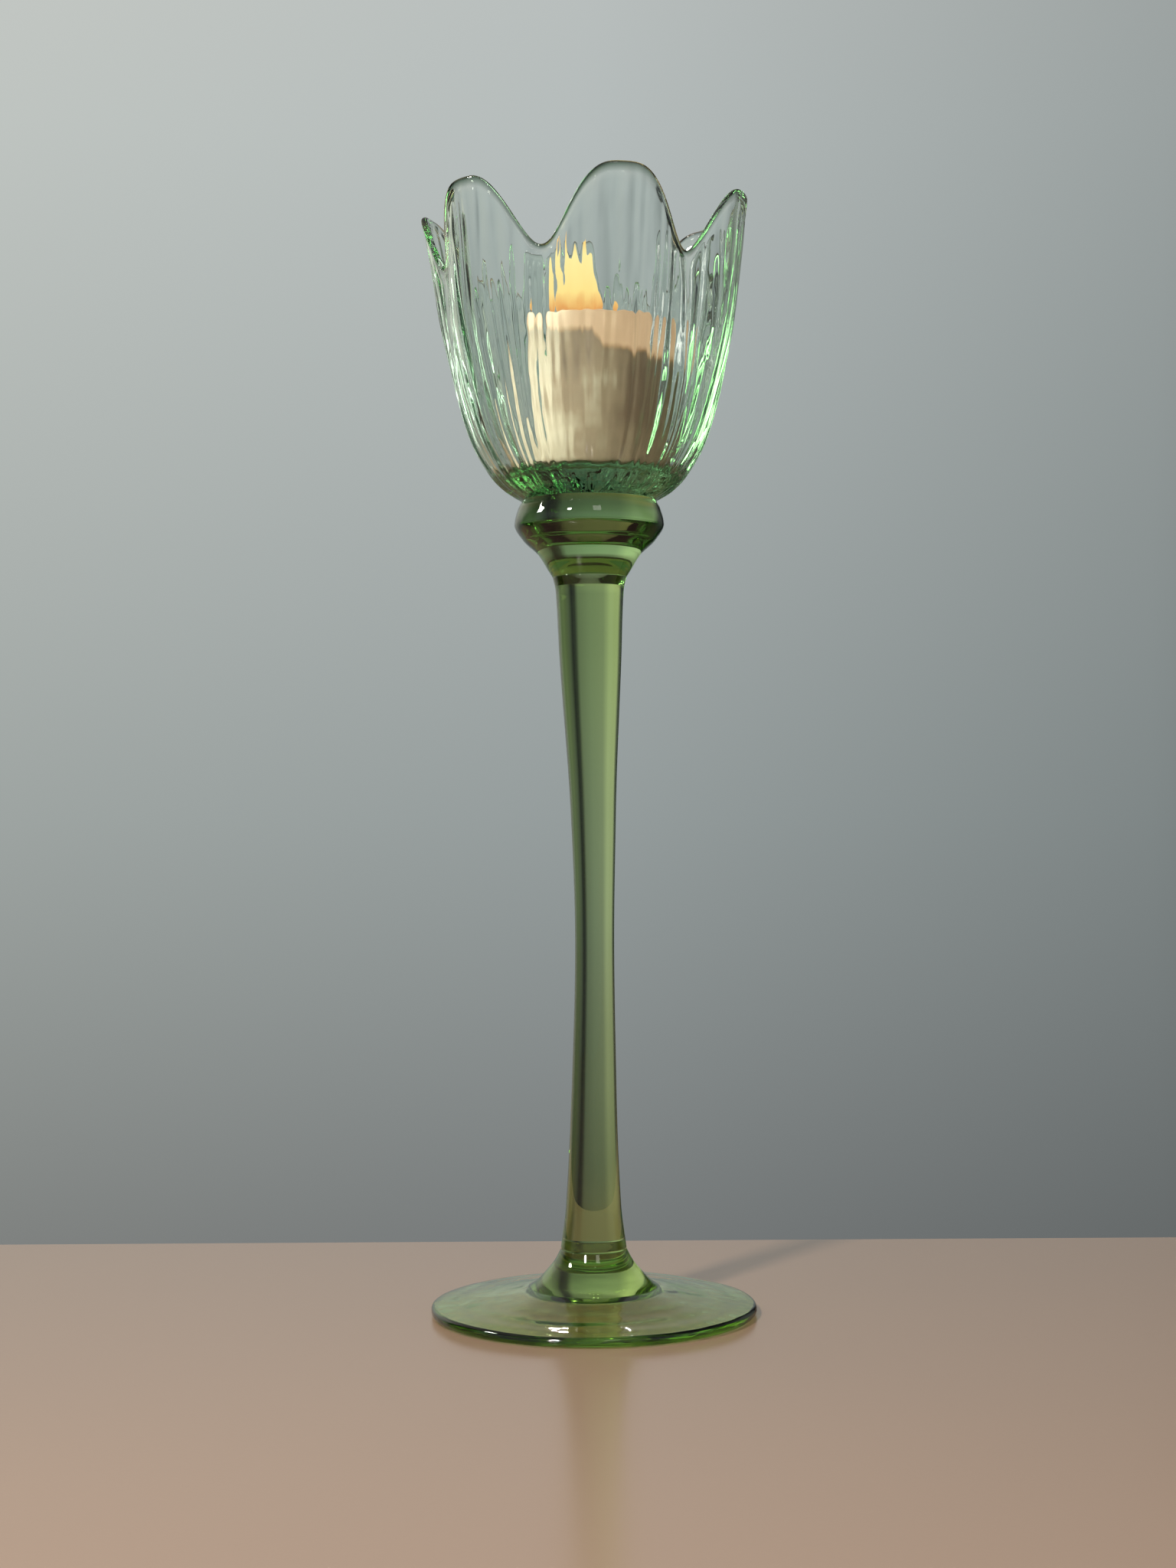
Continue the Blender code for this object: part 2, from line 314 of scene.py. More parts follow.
def makeStudio():
    look = Look("tableTop")
    patches = look.grain(look.spot(), studio["patchScale"], 3.0)
    fine = look.grain(look.spot(), studio["grainScale"], 1.0)
    smooth, uneven = studio["roughness"]
    surface = look.shader({
        "Base Color": look.blend(patches, studio["floorShade"], studio["floorColour"]),
        "Roughness": smooth + uneven * patches,
        "Normal": look.bump(fine, 0.03, 0.0004),
    })
    top = bpy.data.meshes.new("tableTop")
    side, level = studio["floorSide"], studio["floorLevel"]
    near, far = studio["floorFront"], studio["floorBack"]
    corners = [(-side, near, level), (side, near, level), (side, far, level), (-side, far, level)]
    top.from_pydata(corners, [], [(0, 1, 2, 3)])
    top.materials.append(look.finish(surface))
    table = bpy.data.objects.new("tableTop", top)
    bpy.context.scene.collection.objects.link(table)

    world = bpy.data.worlds.new("studio")
    bpy.context.scene.world = world
    world.use_nodes = True
    sky = Look("studio", world.node_tree)
    way = sky.node("ShaderNodeTexCoord", out="Generated")
    across, along, up = sky.axes(way)
    # Lighter behind the cup than behind the foot, and dim above and below what the camera sees.
    wall = sky.ramp(up * 0.5 + 0.5, [
        (0.00, (0.22, 0.16, 0.11)),
        (0.34, (0.26, 0.19, 0.14)),
        (0.40, (0.17, 0.18, 0.18)),
        (0.50, (0.30, 0.335, 0.335)),
        (0.64, (0.46, 0.50, 0.495)),
        (0.69, (0.50, 0.53, 0.52)),
        (0.74, (0.30, 0.31, 0.30)),
        (0.86, (0.22, 0.23, 0.22)),
        (1.00, (0.30, 0.30, 0.30)),
    ])
    # Round the sides it changes from a bright zone on the left to a dark one on the right.
    sides = sky.ramp(across * 0.5 + 0.5, [
        (0.00, (0.04, 0.04, 0.04)),
        (0.07, (0.08, 0.08, 0.08)),
        (0.13, (1.9, 1.78, 1.5)),
        (0.28, (1.85, 1.75, 1.5)),
        (0.36, (1.15, 1.12, 1.08)),
        (0.50, (1.0, 1.0, 1.0)),
        (0.62, (0.70, 0.71, 0.71)),
        (0.66, (0.12, 0.12, 0.12)),
        (0.70, (0.03, 0.03, 0.03)),
        (0.74, (0.30, 0.31, 0.28)),
        (0.83, (0.62, 0.64, 0.55)),
        (0.91, (0.55, 0.57, 0.50)),
        (0.96, (0.08, 0.08, 0.08)),
        (1.00, (0.03, 0.03, 0.03)),
    ])
    facing = sky.ease(along, -0.15, 0.15)
    shaded = sky.node("ShaderNodeMix", {"data_type": "RGBA", "blend_type": "MULTIPLY"},
                      {0: facing, 6: wall, 7: sides}, 2)
    glow = sky.node("ShaderNodeBackground", inputs={"Color": shaded, "Strength": studio["worldStrength"]})
    out = sky.tree.nodes.new("ShaderNodeOutputWorld")
    sky.tree.links.new(glow.socket, out.inputs["Surface"])


# Each lamp's name, place, target, width, height, watts and colour, and what it lights, or None for all.
holderPieces = ("glassFoot", "glassStem", "glassKnop", "tulipCup")
candlePieces = ("candleWax", "meltedWax", "braidedWick")
white = (1.0, 1.0, 1.0)
softBoxes = [
    ("keyBox", (-0.52, -0.79, 0.86), (0.0, 0.0, 0.15), 0.09, 0.09, 7.5, (1.0, 0.95, 0.86),
     holderPieces + ("tableTop",)),
    ("sideBox", (-1.0, -0.05, 0.80), (0.0, 0.0, 0.24), 0.16, 0.16, 6.5, (1.0, 0.95, 0.88),
     holderPieces + candlePieces),
    ("fillBox", (0.30, -1.25, 1.15), (0.0, 0.0, 0.05), 0.30, 0.30, 0.9, (1.0, 0.96, 0.91), None),
    ("greenBox", (0.52, 0.72, 0.27), (0.0, 0.0, 0.3), 0.20, 0.26, 1.3, (0.40, 1.0, 0.34), ("tulipCup",)),
    ("backBox", (-0.50, 0.72, 0.30), (0.0, 0.0, 0.3), 0.07, 0.22, 0.20, (0.70, 1.0, 0.72), ("tulipCup",)),
    ("sparkBox", (-0.10, -0.95, 0.55), (0.0, 0.0, 0.1), 0.014, 0.014, 0.3, white, None),
    ("glintBox", (-0.42, -0.80, 0.62), (0.0, 0.0, 0.2), 0.014, 0.014, 0.3, white, None),
    ("frontBox", (0.05, -1.00, 1.40), (0.0, 0.0, 0.0), 0.020, 0.020, 0.6, white, ("glassFoot",)),
    ("edgeBox", (-0.30, -0.90, 0.95), (0.0, 0.0, 0.3), 0.030, 0.030, 0.9, white, ("tulipCup",)),
]


# A cluster of tiny lamps behind the foot, for the sprinkle of sparks on its front.
sparks = {
    "count": 9,
    "spread": 0.045,    # to either side
    "behind": 0.80,
    "low": 0.38,
    "high": 0.54,
    "size": 0.004,
    "watts": 0.035,
    "seed": 5,
}


def sparkBoxes():
    dice = random.Random(sparks["seed"])
    size, origin = sparks["size"], (0.0, 0.0, 0.0)
    for i in range(sparks["count"]):
        across = dice.uniform(-sparks["spread"], sparks["spread"])
        up = dice.uniform(sparks["low"], sparks["high"])
        place = (across, sparks["behind"], up)
        yield f"dotBox{i}", place, origin, size, size, sparks["watts"], white, ("glassFoot",)


def makeLights():
    for name, place, target, width, height, watts, colour, only in softBoxes + list(sparkBoxes()):
        data = bpy.data.lights.new(name, "AREA")
        data.shape = "RECTANGLE"
        data.size = width
        data.size_y = height
        data.energy = watts
        data.color = colour
        lamp = bpy.data.objects.new(name, data)
        lamp.location = place
        lamp.rotation_euler = (Vector(target) - Vector(place)).to_track_quat("-Z", "Y").to_euler()
        bpy.context.scene.collection.objects.link(lamp)
        if only:
            lit = bpy.data.collections.new(name)
            for piece in only:
                lit.objects.link(bpy.data.objects[piece])
            lamp.light_linking.receiver_collection = lit


# Glass: one recipe for all four pieces, greener where it is thicker because most of the tint is in its depth.
# "depth" is the loss per metre of glass in red, green and blue, "skin" tints the surface and "rim" its edge;
# on the cup "rim" is a painted dark outline.
glassTints = {
    "foot": {"depth": (20.0, 10.0, 34.0), "skin": (0.81, 0.82, 0.58), "rim": (0.74, 0.84, 0.46)},
    "stem": {"depth": (34.0, 22.0, 54.0), "skin": (0.80, 0.84, 0.66), "rim": (0.80, 0.84, 0.66)},
    "knop": {"depth": (22.0, 12.0, 31.0), "skin": (0.89, 0.97, 0.90), "rim": (0.96, 0.97, 0.90)},
    # The cup's rim colour is a painted dark outline that stands in for the dark room seen through the bead.
    "cup": {"depth": (22.0, 9.0, 20.0), "skin": (0.92, 0.965, 0.93), "rim": (0.10, 0.18, 0.10)},
}


glass = {
    "index": 1.5,
    "rippleStretch": (1.0, 1.0, 0.25),
    "rippleStrength": 0.5,
    "streakStretch": (1.0, 1.0, 0.1),
    "streakScale": 240.0,
    "streakFade": 0.9,
    "roughness": (0.004, 0.02),
}


def glassLook(name, kind, rippleScale, rippleDepth):
    tint = glassTints[kind]
    look = Look(name)
    seam = look.node("ShaderNodeAttribute", {"attribute_name": "seam"}, out="Fac")
    rim = look.node("ShaderNodeAttribute", {"attribute_name": "rim"}, out="Fac")
    ripple = look.grain(look.stretched(glass["rippleStretch"]), rippleScale, 2.0)
    streak = look.grain(look.stretched(glass["streakStretch"]), glass["streakScale"], 2.0)
    faint = tuple(glass["streakFade"] * c for c in tint["skin"])
    smooth, uneven = glass["roughness"]
    surface = look.shader({
        "Base Color": look.blend(rim, look.blend(streak, tint["skin"], faint), tint["rim"]),
        "Roughness": smooth + uneven * look.ease(ripple, 0.55, 0.8),
        "IOR": glass["index"],
        "Transmission Weight": 1.0,
        "Alpha": 1 - seam,
        "Normal": look.bump(ripple, glass["rippleStrength"], rippleDepth),
    })
    # The node loses density x (1 - colour) per metre, so the density is a little over the greatest loss.
    density = max(tint["depth"]) * 1.04
    clear = [1 - loss / density for loss in tint["depth"]]
    depth = {"Color": (*clear, 1.0), "Density": density}
    return look.finish(surface, look.node("ShaderNodeVolumeAbsorption", inputs=depth))


foot = {
    "edge": 0.0034,          # height of the rim
    "edgeRound": 0.0014,
    "edgeInset": 0.0001,
    "discRise": 0.0084,      # top of the disc where it meets the boss
    "dish": 0.0002,          # how far the disc sags between boss and rim
    "thickness": 0.0034,
    "hollowEdge": 0.0490,    # radius inside which the underside is hollow
    "bossSpread": 0.0098,
    "bossKeys": ((1.0, 0.0), (0.75, 0.155), (0.52, 0.36), (0.20, 0.69), (0.0, 1.0)),
    "waviness": 0.00012,
    "columns": 240,
}


def makeFoot(look):
    radius, top = footHigh.x, footSeam - seamGap
    discRise, rise = foot["discRise"], footHigh.z - foot["discRise"]
    # Each key is a share of the boss's spread and of its rise.
    spread = foot["bossSpread"]
    keys = [(-(stemEndRadius + out * spread), discRise + up * rise) for out, up in foot["bossKeys"]]
    _, boss = outlineThrough(keys, 18)
    boss[:, 0] *= -1
    boss[-1, 1] = top
    edge, bend = foot["edge"], foot["edgeRound"]
    rim = radius - bend - foot["edgeInset"]
    bossEdge = boss[0]
    disc = np.linspace(bossEdge, (rim, edge), 50)[1:-1]
    # The disc is a little hollow towards the rim, as pressed glass is.
    disc[:, 1] -= foot["dish"] * np.sin(np.linspace(0, np.pi, len(disc)))
    outer = arcPoints((rim, edge - bend), bend, 90, 0, 10)
    lower = arcPoints((rim, bend), bend, 0, -90, 10)
    # It rests on a ring at its edge, and the hollow beneath follows the disc at an even thickness.
    under = np.linspace(foot["hollowEdge"], 0.0, 40)[:-1]
    cover = np.interp(under, disc[:, 0], disc[:, 1])
    base = np.stack([under, np.clip(cover - foot["thickness"], 0.0, None)], axis=1)
    crown = np.array([(stemEndRadius * share, top) for share in (0.4, 0.8)])
    profile = np.vstack([crown, boss[::-1], disc, outer, lower, base])
    rings = turnedRings(profile, foot["columns"])
    angle = np.arctan2(rings[..., 1], rings[..., 0])
    reach = np.hypot(rings[..., 0], rings[..., 1]) / radius
    wave = np.sin(3 * angle + 0.6) + 0.6 * np.sin(7 * angle + 2.0) + 0.5 * np.sin(40 * reach)
    onTop = (rings[..., 2] > edge - bend) & (rings[..., 2] < discRise + 0.0005)
    rings[..., 2] -= foot["waviness"] * (1 + wave) * onTop * np.clip(reach * 2 - 0.8, 0, 1)
    piece = gridMesh("glassFoot", rings, look)
    markRim(piece, np.clip((reach - 0.45) / 0.5, 0, 1) ** 0.7)
    markSeams(piece, [top])
    return placePiece(piece, "holder", "green_glass", "foot")


stem = {
    "waistRadius": 0.0062,
    "waistRise": 0.0960,              # waist above the foot
    "lowerKeys": ((0.60, 0.14), (0.20, 0.54)),
    "upperKeys": ((0.18, 0.36), (0.66, 0.78)),
    "shoulder": (0.0009, 0.0042),     # inwards and downwards from its top edge
    "bow": 0.0009,
    "columns": 160,
}


def makeStem(look):
    low, high = footSeam + seamGap, knopSeam - seamGap
    top, end, waist = stemHigh.x, stemEndRadius, stem["waistRadius"]
    middle = stemLow.z + stem["waistRise"]
    below, above, upper = end - waist, top - waist, stemHigh.z - middle
    inwards, down = stem["shoulder"]
    # Each key is a share of how much wider the end is than the waist, and of the way up.
    lowerKeys = [(waist + out * below, stemLow.z + up * stem["waistRise"]) for out, up in stem["lowerKeys"]]
    upperKeys = [(waist + out * above, middle + up * upper) for out, up in stem["upperKeys"]]
    ends = [(top - inwards, high - down), (top, high)]
    _, side = outlineThrough([(end, low), *lowerKeys, (waist, middle), *upperKeys, *ends], 24)
    crown = np.array([(top * share, high) for share in (0.4, 0.8)])
    base = np.array([(end * share, low) for share in (0.8, 0.4)])
    rings = turnedRings(np.vstack([crown, side[::-1], base]), stem["columns"])
    share = np.clip((rings[..., 2] - low) / (high - low), 0, 1)
    # It was drawn by hand: a slight bow, fading out at both joints.
    rings[..., 0] += stem["bow"] * np.sin(np.pi * share) ** 2
    piece = gridMesh("glassStem", rings, look)
    markSeams(piece, [low, high])
    return placePiece(piece, "holder", "green_glass", "stem")


knop = {
    "radius": 0.0237,
    "bellyRise": 0.0165,    # widest point above the stem
    "lowerKeys": ((0.12, 0.13), (0.37, 0.42), (0.77, 0.70)),
    "upperKey": (0.46, 0.67),
    "columns": 200,
}


def makeKnop(look):
    low, high = knopSeam + seamGap, cupSeam - seamGap
    stemTop, neck, radius = stemHigh.x, neckRadius, knop["radius"]
    swell, belly = radius - stemTop, knopLow.z + knop["bellyRise"]
    # Each key is a share of the swell and of the way up.
    lowerKeys = [(stemTop + out * swell, knopLow.z + up * knop["bellyRise"]) for out, up in knop["lowerKeys"]]
    out, up = knop["upperKey"]
    upperKey = (radius + out * (neck - radius), belly + up * (knopHigh.z - belly))
    _, side = outlineThrough([(stemTop, low), *lowerKeys, (radius, belly), upperKey, (neck, high)], 20)
    crown = np.array([(neck * share, high) for share in (0.3, 0.6, 0.9)])
    base = np.array([(stemTop * share, low) for share in (0.8, 0.4)])
    rings = turnedRings(np.vstack([crown, side[::-1], base]), knop["columns"])
    piece = gridMesh("glassKnop", rings, look)
    markSeams(piece, [low])
    return placePiece(piece, "holder", "green_glass", "knop")


cup = {
    "base": 0.0080,                  # solid glass under the candle
    "floorRadius": 0.0275,
    "heelOut": 0.0040,
    "shoulder": (0.0100, 0.0190),    # out from the floor's radius, up from the underside
    "belly": (0.0142, 0.0330),
    "petal": (0.0203, 0.0590),
    "tipOut": 0.0250,
    "petals": 6,
    "petalDepth": 0.0225,            # from a tip down to the valley beside it
    "roundness": 1.6,                # higher makes broader petals and sharper valleys
    "fold": 0.0042,                  # how far the valleys lean inwards
    "frontPetal": -78.0,             # degrees round from the right
    "lean": (0.0005, -0.0010, -0.0010, 0.0000, 0.0025, -0.0010),
    "swell": 0.0004,
    "wallLow": 0.0030,
    "wallHigh": 0.0015,
    "bead": 0.0025,                  # thickness of the melted rim
    "paintedOutlineReach": 0.0022,              # how far down the rim's painted dark outline reaches
    "baseTint": 0.35,
    "ribs": 44,
    "ribDepth": 0.0008,
    "ribInside": 0.00022,
    "creaseDepth": 0.00055,
    "rippleDepth": 0.00006,
    "floorRipple": 0.0006,
    "columns": 480,
    "seed": 11,
}


def petalDrop(angle):
    wave = (1 - np.cos(cup["petals"] * (angle - math.radians(cup["frontPetal"])))) / 2
    return wave ** cup["roundness"]


def petalLean(angle):
    pitch = 2 * np.pi / cup["petals"]
    lean = np.zeros_like(angle)
    for i, own in enumerate(cup["lean"]):
        away = angle - math.radians(cup["frontPetal"]) - i * pitch
        away = np.abs((away + np.pi) % (2 * np.pi) - np.pi)
        lean += np.where(away < pitch, own * (1 + np.cos(np.pi * away / pitch)) / 2, 0)
    return lean


def ribField(angle, share):
    # Uneven ribs that fan up the wall: each is a ridge with its own width, strength and drift.
    dice = random.Random(cup["seed"])
    field = np.zeros_like(angle)
    pitch = 2 * np.pi / cup["ribs"]
    for i in range(cup["ribs"]):
        centre = i * pitch + dice.uniform(-0.3, 0.3) * pitch
        width = pitch * dice.uniform(0.18, 0.34)
        strength = dice.uniform(0.45, 1.0)
        start = dice.uniform(-0.2, 0.05)
        stop = dice.uniform(1.25, 1.9)
        drift = dice.uniform(-0.6, 0.6) * pitch
        wobble = dice.uniform(0.05, 0.25) * pitch
        phase = dice.uniform(0, 6)
        line = centre + drift * (share - 0.5) + wobble * np.sin(7 * share + phase)
        away = np.abs((angle - line + np.pi) % (2 * np.pi) - np.pi)
        rise = np.clip((share - start) / 0.15, 0, 1) * np.clip((stop - share) / 0.8, 0, 1) ** 1.5
        field = np.maximum(field, strength * rise * np.exp(-(away / width) ** 2))
    return field


def wrinkles(angle, share, around, along, seed):
    # Smooth noise that runs right round the cup: low along makes long creases, high along makes ripples.
    field = np.empty_like(angle)
    for i in range(angle.shape[0]):
        rise = share[i, 0] * along + seed
        for j in range(angle.shape[1]):
            turn = angle[i, j]
            field[i, j] = noise.noise(Vector((math.cos(turn) * around, math.sin(turn) * around, rise)))
    return field


def makeCup(look):
    low, top = cupSeam + seamGap, cupHigh.z
    floor = cupLow.z + cup["base"]
    inside = cup["floorRadius"]
    corner, neck = inside + cup["heelOut"], neckRadius
    radiusAt, outer = outlineThrough([
        (neck, low),
        (0.45 * neck + 0.55 * corner, cupLow.z + 0.38 * cup["base"]),
        (corner, floor),
        (inside + cup["shoulder"][0], cupLow.z + cup["shoulder"][1]),
        (inside + cup["belly"][0], cupLow.z + cup["belly"][1]),
        (inside + cup["petal"][0], cupLow.z + cup["petal"][1]),
        (inside + cup["tipOut"], top - cup["bead"] / 2),
    ], 16)
    outer[:, 0] -= 0.0002
    along = np.gradient(outer, axis=0)
    inward = np.stack([-along[:, 1], along[:, 0]], axis=1)
    inward /= np.linalg.norm(inward, axis=1)[:, None]
    share = np.clip((outer[:, 1] - floor) / (top - floor), 0, 1)
    wall = cup["wallLow"] + (cup["wallHigh"] - cup["wallLow"]) * share
    nearRim = np.clip((share - 0.965) / 0.035, 0, 1)
    wall += (cup["bead"] - cup["wallHigh"]) * np.sin(nearRim * np.pi / 2) ** 2
    inner = outer + inward * wall[:, None]
    inner = inner[inner[:, 1] > floor + 0.003]
    t = np.linspace(0, 0.92, 12)[:, None]
    start, bend = np.array((inside - 0.003, floor)), np.array((inside, floor))
    heel = (1 - t) ** 2 * start + 2 * t * (1 - t) * bend + t * t * inner[0]
    floorLine = np.array([(start[0] * s, floor) for s in (0.15, 0.4, 0.65, 0.85)])
    middle = (outer[-1] + inner[-1]) / 2
    half = np.linalg.norm(outer[-1] - inner[-1]) / 2
    crown = arcPoints(middle, half, 180, 0, 10)[1:-1]
    crown[:, 1] = middle[1] + (crown[:, 1] - middle[1]) * 0.9
    under = np.array([(neck * s, low) for s in (0.85, 0.5, 0.2)])
    profile = np.vstack([floorLine, heel, inner, crown, outer[::-1], under])
    kind = np.concatenate([
        np.zeros(len(floorLine) + len(heel)), np.full(len(inner), 1.0),
        np.full(len(crown), 0.0), np.full(len(outer), 2.0), np.zeros(len(under)),
    ])
    rings = turnedRings(profile, cup["columns"])
    angle = np.arctan2(rings[..., 1], rings[..., 0])
    height, radius = rings[..., 2].copy(), np.hypot(rings[..., 0], rings[..., 1])
    part = np.clip((height - low) / (top - low), 0, 1)
    ribs = ribField(angle, part)
    creases = 1 - 2 * np.sqrt(wrinkles(angle, part, 11.0, 0.8, 3.0) ** 2 + 0.004)
    ripples = wrinkles(angle, part, 22.0, 16.0, 8.0)
    isOuter, isInner = kind[:, None] == 2.0, kind[:, None] == 1.0
    fade = np.clip(part / 0.025, 0, 1) * np.clip((1 - part) / 0.09, 0, 1)
    swell = cup["swell"] * np.sin(np.pi * part)
    radius += isOuter * (swell - fade * cup["ribDepth"] * (1 - ribs) * 0.7)
    radius -= isOuter * fade * (cup["creaseDepth"] * (1 - creases) + cup["rippleDepth"] * ripples)
    radius += isInner * (swell + fade * (cup["ribInside"] * (ribs - 0.3) + cup["rippleDepth"] * ripples))
    isFloor = (kind[:, None] == 0.0) & (height < floor + 0.0030) & (height > low + 0.001)
    dimples = 0.5 + 0.5 * wrinkles(angle * 4, radius / inside, 4.0, 9.0, 5.0)
    height -= isFloor * cup["floorRipple"] * dimples
    belly = cupLow.z + cup["belly"][1]
    reach = np.clip((height - belly) / (top - belly), 0, 1)
    drop = petalDrop(angle)
    lowered = height - cup["petalDepth"] * drop * reach
    radius += radiusAt(lowered) - radiusAt(height)
    radius += petalLean(angle) * reach**2 - cup["fold"] * drop * reach
    rings[..., 0], rings[..., 1], rings[..., 2] = radius * np.cos(angle), radius * np.sin(angle), lowered
    piece = gridMesh("tulipCup", rings, look)
    # The rim gets a painted dark outline, standing in for the dark room seen through the bead, in patches and
    # less on the far side; the solid base gets a little of the same dark colour.
    nearSide = 0.15 + 0.85 * np.clip(0.7 - rings[..., 1] / 0.02, 0, 1)
    patchy = 0.78 + 0.22 * np.sin(5 * angle + 0.8) * np.cos(2 * angle)
    paintedRimOutline = np.clip((height - top + cup["paintedOutlineReach"]) / 0.0010, 0, 1)
    atBase = np.clip((floor + 0.0015 - height) / 0.0020, 0, 1)
    markRim(piece, paintedRimOutline * nearSide * patchy + cup["baseTint"] * atBase)
    piece.visible_shadow = False
    return placePiece(piece, "holder", "clear_green_glass", "tulip_cup")


candle = {
    "poolDepth": 0.0070,       # melted hollow in the top
    "rimWall": 0.0028,
    "poolCorner": 0.0020,
    "edge": 0.0012,
    "bore": 0.0011,
    "meltedDip": 0.0016,
    "tabRadius": 0.0088,       # recess for the sustainer
    "tabRise": 0.0008,
    "tabNeck": (0.0022, 0.0043),
    "columns": 180,
    "glowStart": 0.0105,       # painted flame light from here, below the top
    "glowFull": 0.0078,
    "glowTilt": 0.26,          # the lit part reaches lower on the right
    "glowUneven": 0.014,
    "glowStrength": 0.52,
    "paintedShadeTilt": 6.0,          # painted shade: the wax's colour is darker towards the right
    "roughness": (0.42, 0.2),
}


def waxLook():
    look = Look("creamWax")
    across, _, up = look.axes(look.spot())
    cloud = look.grain(look.spot(), 70.0, 3.0)
    broad = look.grain(look.stretched((1.0, 1.0, 0.4)), 42.0, 3.0, 0.6)
    aside = across - candleX
    level = up + (broad - 0.5) * candle["glowUneven"] + aside * candle["glowTilt"]
    lit = look.ease(level, waxHigh.z - candle["glowStart"], waxHigh.z - candle["glowFull"])
    drips = look.grain(look.stretched((1.0, 1.0, 0.35)), 95.0, 2.0, 0.55)
    # Painted shade: the colour darkens towards the right, and the ramp's dark brown end stands in partly for
    # shade; the drips are real streaks in the wax.
    body = look.ramp(0.35 * cloud + 0.65 * drips - aside * candle["paintedShadeTilt"], [
        (0.36, (0.15, 0.10, 0.06)),
        (0.55, (0.30, 0.22, 0.14)),
        (0.74, (0.72, 0.63, 0.48)),
    ])
    # Painted light: the top of the wax glows with emission where the flame lights it.
    glow = look.ramp(lit, [
        (0.0, (0.03, 0.012, 0.003)),
        (0.35, (0.42, 0.20, 0.07)),
        (1.0, (1.0, 0.62, 0.36)),
    ])
    smooth, uneven = candle["roughness"]
    surface = look.shader({
        "Base Color": body,
        "Roughness": smooth + uneven * cloud,
        "Emission Color": glow,
        "Emission Strength": candle["glowStrength"],
        "Normal": look.bump(cloud, 0.25, 0.0006),
    })
    return look.finish(surface)


def makeWax(look):
    bottom, top = waxLow.z, waxHigh.z
    wall, radius = candle["rimWall"], candleRadius - 0.0001
    half, edge, corner, bore = wall / 2, candle["edge"], candle["poolCorner"], candle["bore"]
    poolFloor, poolEdge = top - candle["poolDepth"], radius - wall
    tab, tabTop = candle["tabRadius"], bottom + candle["tabRise"]
    neck, neckTop = candle["tabNeck"][0], bottom + candle["tabNeck"][1]
    profile = np.vstack([
        [(bore, poolFloor), (radius * 0.4, poolFloor), (poolEdge - corner, poolFloor)],
        arcPoints((poolEdge - corner, poolFloor + corner), corner, -90, 0, 6)[1:],
        np.linspace((poolEdge, poolFloor + corner), (poolEdge, top - half), 8)[1:-1],
        arcPoints((radius - half, top - half), half, 180, 0, 14),
        np.linspace((radius, top - half), (radius, bottom + edge), 70)[1:-1],
        arcPoints((radius - edge, bottom + edge), edge, 0, -90, 6),
        [(tab, bottom), (tab, tabTop), (neck, tabTop), (neck, neckTop), (bore, neckTop)],
    ])
    rings = turnedRings(profile, candle["columns"], (candleX, 0.0))
    angle = np.arctan2(rings[..., 1], rings[..., 0] - candleX)
    # The rim has melted unevenly.
    dip = 0.5 + 0.28 * np.sin(angle + 1.9) + 0.16 * np.sin(3 * angle + 0.4) + 0.06 * np.sin(8 * angle)
    share = np.clip((rings[..., 2] - poolFloor - 0.0025) / (top - poolFloor - 0.0025), 0, 1)
    rings[..., 2] -= candle["meltedDip"] * dip * share**2
    piece = gridMesh("candleWax", rings, look, poles=(False, False), closeLoop=True)
    return placePiece(piece, "candle", "wax", "candle_wax")


pool = {
    "rise": 0.0016,         # level above the floor of the hollow
    "thickness": 0.0012,
    "clearance": 0.0006,    # from the wall of the hollow
    "hole": 0.0015,
    "meniscus": 0.0004,
    "glow": 0.5,
    "columns": 120,
}


def poolLook():
    look = Look("meltedWax")
    soft = look.grain(look.spot(), 120.0, 2.0)
    surface = look.shader({
        "Base Color": look.blend(soft, (0.80, 0.62, 0.40), (0.86, 0.70, 0.50)),
        "Roughness": 0.06 + 0.05 * soft,
        # Painted light: the pool glows with emission where the flame lights it.
        "Emission Color": look.blend(soft, (1.0, 0.60, 0.28), (1.0, 0.70, 0.38)),
        "Emission Strength": pool["glow"],
    })
    return look.finish(surface)


def makePool(look):
    level = waxHigh.z - candle["poolDepth"] + pool["rise"]
    base, hole = level - pool["thickness"], pool["hole"]
    edge = candleRadius - candle["rimWall"] - pool["clearance"]
    # The liquid climbs a little at the wick and at the wall.
    profile = np.array([
        (hole, level + pool["meniscus"]), (0.0035, level), (edge * 0.5, level), (edge - 0.001, level),
        (edge, level + 0.0003), (edge, level - 0.0003), (edge - 0.0012, base), (hole, base),
    ])
    rings = turnedRings(profile, pool["columns"], (candleX, 0.0))
    piece = gridMesh("meltedWax", rings, look, poles=(False, False), closeLoop=True)
    return placePiece(piece, "candle", "wax")


wick = {
    "radius": 0.00066,
    "lobes": 0.16,         # how deep the braid's grooves are
    "twist": 260,
    "tip": 0.72,           # the burnt end is thinner
    "charStart": 0.0060,
    "charFull": 0.0030,    # below the top of the wax
    "emberStart": 0.0016,
    "emberFull": 0.0004,   # below the tip
    "emberGlow": 2.0,
    "columns": 36,
}


def wickLook():
    look = Look("burntWick")
    _, _, up = look.axes(look.spot())
    braid = look.node("ShaderNodeTexWave", {"wave_type": "BANDS", "bands_direction": "DIAGONAL"},
                      {"Vector": look.spot(), "Scale": 900.0, "Distortion": 1.5}, "Fac")
    charred = look.ease(up, waxHigh.z - wick["charStart"], waxHigh.z - wick["charFull"])
    ember = look.ease(up, wickHigh.z - wick["emberStart"], wickHigh.z - wick["emberFull"])
    surface = look.shader({
        "Base Color": look.blend(charred, (0.62, 0.55, 0.42), (0.018, 0.014, 0.012)),
        "Roughness": 0.95 - 0.2 * braid,
        "Emission Color": look.blend(ember, (0.0, 0.0, 0.0), (1.0, 0.22, 0.03)),
        "Emission Strength": wick["emberGlow"],
        "Normal": look.bump(braid, 0.8, 0.0002),
    })
    return look.finish(surface)


